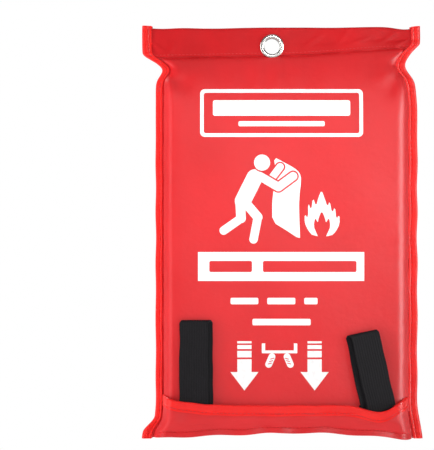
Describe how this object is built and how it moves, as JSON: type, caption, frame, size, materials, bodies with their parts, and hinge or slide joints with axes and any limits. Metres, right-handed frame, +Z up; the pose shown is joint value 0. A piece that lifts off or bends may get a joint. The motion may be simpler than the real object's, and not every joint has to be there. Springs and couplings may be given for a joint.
{
  "type": "fire blanket in hanging pouch",
  "caption": "Fire blanket folded in a soft red hanging pouch with bound seams, an eyelet to hang it by and black webbing loops that pull the blanket down and out.",
  "frame": {"origin": "centre of the eyelet's hole, in the middle of the header's thickness", "axes": "+X is the right side seen from the front, +Y is the back, towards the wall, and +Z is up; the printed front faces -Y"},
  "size_m": [0.197, 0.0289, 0.2925],
  "materials": {
    "pouch_cloth": "red coated polyester cloth with a soft sheen",
    "binding_tape": "bright red satin bias tape",
    "webbing": "black ribbed webbing, matt",
    "glass_cloth": "off-white woven glass-fibre cloth, matt",
    "eyelet_metal": "nickel-plated brass, polished"
  },
  "bodies": {
    "pouch": {"back_panel": "pouch_cloth", "front_panel": "pouch_cloth", "header_band": "pouch_cloth", "left_side_binding": "binding_tape", "right_side_binding": "binding_tape", "pocket_flap": "pouch_cloth", "flap_binding": "binding_tape", "eyelet": "eyelet_metal", "eyelet_washer": "eyelet_metal"},
    "blanket": {"folded_blanket": "glass_cloth", "left_tab_anchor": "webbing", "right_tab_anchor": "webbing"},
    "left_tab": {"left_pull_tab": "webbing"},
    "right_tab": {"right_pull_tab": "webbing"}
  },
  "joints": [
    {"name": "blanket_pull", "type": "slide", "parent": "pouch", "child": "blanket", "axis": [0, 0, -1], "range_m": [0, 0.24], "deforming": ["pocket_flap", "flap_binding"]},
    {"name": "left_tab_swing", "type": "hinge", "parent": "blanket", "child": "left_tab", "pos_m": [-0.0538, -0.0251, -0.2504], "axis": [1, 0, 0], "range_deg": [0, 170]},
    {"name": "right_tab_swing", "type": "hinge", "parent": "blanket", "child": "right_tab", "pos_m": [0.0732, -0.0251, -0.2504], "axis": [1, 0, 0], "range_deg": [0, 170]}
  ]
}
